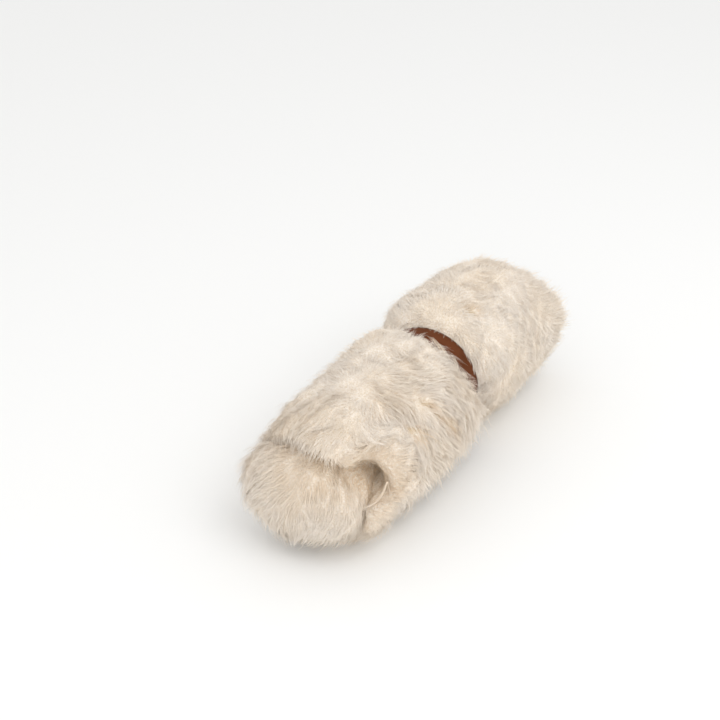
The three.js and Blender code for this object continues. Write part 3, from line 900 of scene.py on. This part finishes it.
def suede_material():
    material, tree, surface = new_material("suede", roughness=0.95, gloss=0.1)
    hide = place_effect(tree, mottling, Size=HIDE_PATCH, Pale=SUEDE_PALE, Dark=SUEDE_DARK)["Colour"]
    # The suede's colour with painted shade between its fibres.
    fibres = place_effect(tree, nap, Size=SUEDE_NAP, Colour=hide, Between=SUEDE_SHADE_BETWEEN)
    join(tree, fibres["Colour"], surface["Base Color"])
    bump = add_node(tree, "ShaderNodeBump", Height=fibres["Height"], Distance=0.0005, Strength=0.5)
    join(tree, bump.outputs[0], surface["Normal"])
    return material


skin = add_object("skin", skin_mesh())
skin.data.materials.append(suede_material())
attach(skin, "root")


# The strap
# A belt of smooth brown leather about 41 mm wide and 3 mm thick, pulled tight round the waist and
# lapped underneath. Its edges are rounded and burnished dark.
STRAP_RADIUS, STRAP_THICK, STRAP_WIDTH = 73 * MM, 3 * MM, 41 * MM
LAP_START, LAP_END, LAP_CLIMB = 330, 396, 18
LAP_GAP = 0.3 * MM
EDGE_ROUND, BURNISHED_REACH = 1.1 * MM, 3 * MM


def strap_mesh():
    degrees = np.arange(0, LAP_END + 0.01, 2.0)
    radius = STRAP_RADIUS + smooth_step((degrees - LAP_START) / LAP_CLIMB) * (STRAP_THICK + LAP_GAP)
    half, deep = STRAP_WIDTH / 2, STRAP_THICK
    corner = EDGE_ROUND * (1 - math.sqrt(0.5))
    section = [(-half + EDGE_ROUND, 0), (-half + corner, corner), (-half, EDGE_ROUND),
               (-half, deep - EDGE_ROUND), (-half + corner, deep - corner), (-half + EDGE_ROUND, deep)]
    across = np.linspace(-half + EDGE_ROUND, half - EDGE_ROUND, 9)[1:-1]
    section += [(place, deep) for place in across]
    section += [(-place, height) for place, height in reversed(section[:6])]
    section += [(-place, 0.0) for place in across]
    angle = np.radians(degrees - 90)
    rings = np.array([[
        (strap_low.x + STRAP_WIDTH / 2 + place, math.cos(a) * (r + height), math.sin(a) * (r + height))
        for place, height in section] for a, r in zip(angle, radius)])
    rings[:, :, 1] = AXIS.y - rings[:, :, 1]
    rings[:, :, 2] += AXIS.z
    mesh = closed_mesh("strap_leather", rings, [rings[0].mean(0), rings[-1].mean(0)])
    rim = [smooth_step((abs(place) - half + BURNISHED_REACH) / BURNISHED_REACH) for place, height in section]
    add_attribute(mesh, "edge", np.concatenate([np.tile(rim, len(degrees)), [0, 0]]))
    return mesh


LEATHER_BROWN = (0.138, 0.038, 0.010)
LEATHER_DARK = (0.100, 0.027, 0.006)
BURNISHED = (0.55, 0.5, 0.45)
LEATHER_GRAIN = 1.1 * MM


def leather_material():
    """Waxed leather with a fine pebbled grain, darker in patches and along its burnished edges."""
    material, tree, surface = new_material("strap leather", roughness=0.55, gloss=0.12)
    brown = place_effect(tree, mottling, Size=HIDE_PATCH, Pale=LEATHER_BROWN, Dark=LEATHER_DARK)["Colour"]
    brown = mixed(tree, "MULTIPLY", attribute(tree, "edge"), brown, BURNISHED)
    join(tree, brown, surface["Base Color"])
    where = tree.nodes.new("ShaderNodeTexCoord").outputs["Object"]
    grain = add_node(tree, "ShaderNodeTexVoronoi", Vector=where, Scale=1 / LEATHER_GRAIN).outputs["Distance"]
    bump = add_node(tree, "ShaderNodeBump", Height=grain, Distance=0.0004, Strength=0.35)
    join(tree, bump.outputs[0], surface["Normal"])
    return material


strap = add_object("strap_leather", strap_mesh())
strap.data.materials.append(leather_material())
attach(strap, "root")
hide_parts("strap")


# The surface and the light
# A plain pale floor under broad, soft studio light from above, with a soft fill from the camera's side.
# Each lamp is a square that faces the middle of the floor.
REACH = 6
SKY = 0.9
FLOOR_PALE = (0.93, 0.93, 0.92, 1)

# Each lamp's name, place and size in metres, and power in watts
LAMPS = [
    ("key", (-0.5, -1.5, 2.3), 1.8, 18),
    ("fill", (-1.8, -0.8, 1.0), 1.2, 4.5),
]

floor_mesh = bpy.data.meshes.new("floor")
floor_corners = [(-REACH, -REACH, 0), (REACH, -REACH, 0), (REACH, REACH, 0), (-REACH, REACH, 0)]
floor_mesh.from_pydata(floor_corners, [], [(0, 1, 2, 3)])
floor = add_object("floor", floor_mesh)
pale, _, pale_surface = new_material("pale floor", roughness=0.9, gloss=0.3)
pale_surface["Base Color"].default_value = FLOOR_PALE
floor_mesh.materials.append(pale)

world = bpy.data.worlds.new("studio")
world.use_nodes = True
world.node_tree.nodes["Background"].inputs[0].default_value = (1, 1, 1, 1)
world.node_tree.nodes["Background"].inputs[1].default_value = SKY
bpy.context.scene.world = world
bpy.context.scene.view_settings.view_transform = "Standard"

for name, place, size, power in LAMPS:
    lamp_data = bpy.data.lights.new(name, "AREA")
    lamp_data.size = size
    lamp_data.energy = power
    lamp = bpy.data.objects.new(name, lamp_data)
    lamp.location = place
    lamp.rotation_euler = (-Vector(place)).to_track_quat("-Z", "Y").to_euler()
    bpy.context.scene.collection.objects.link(lamp)
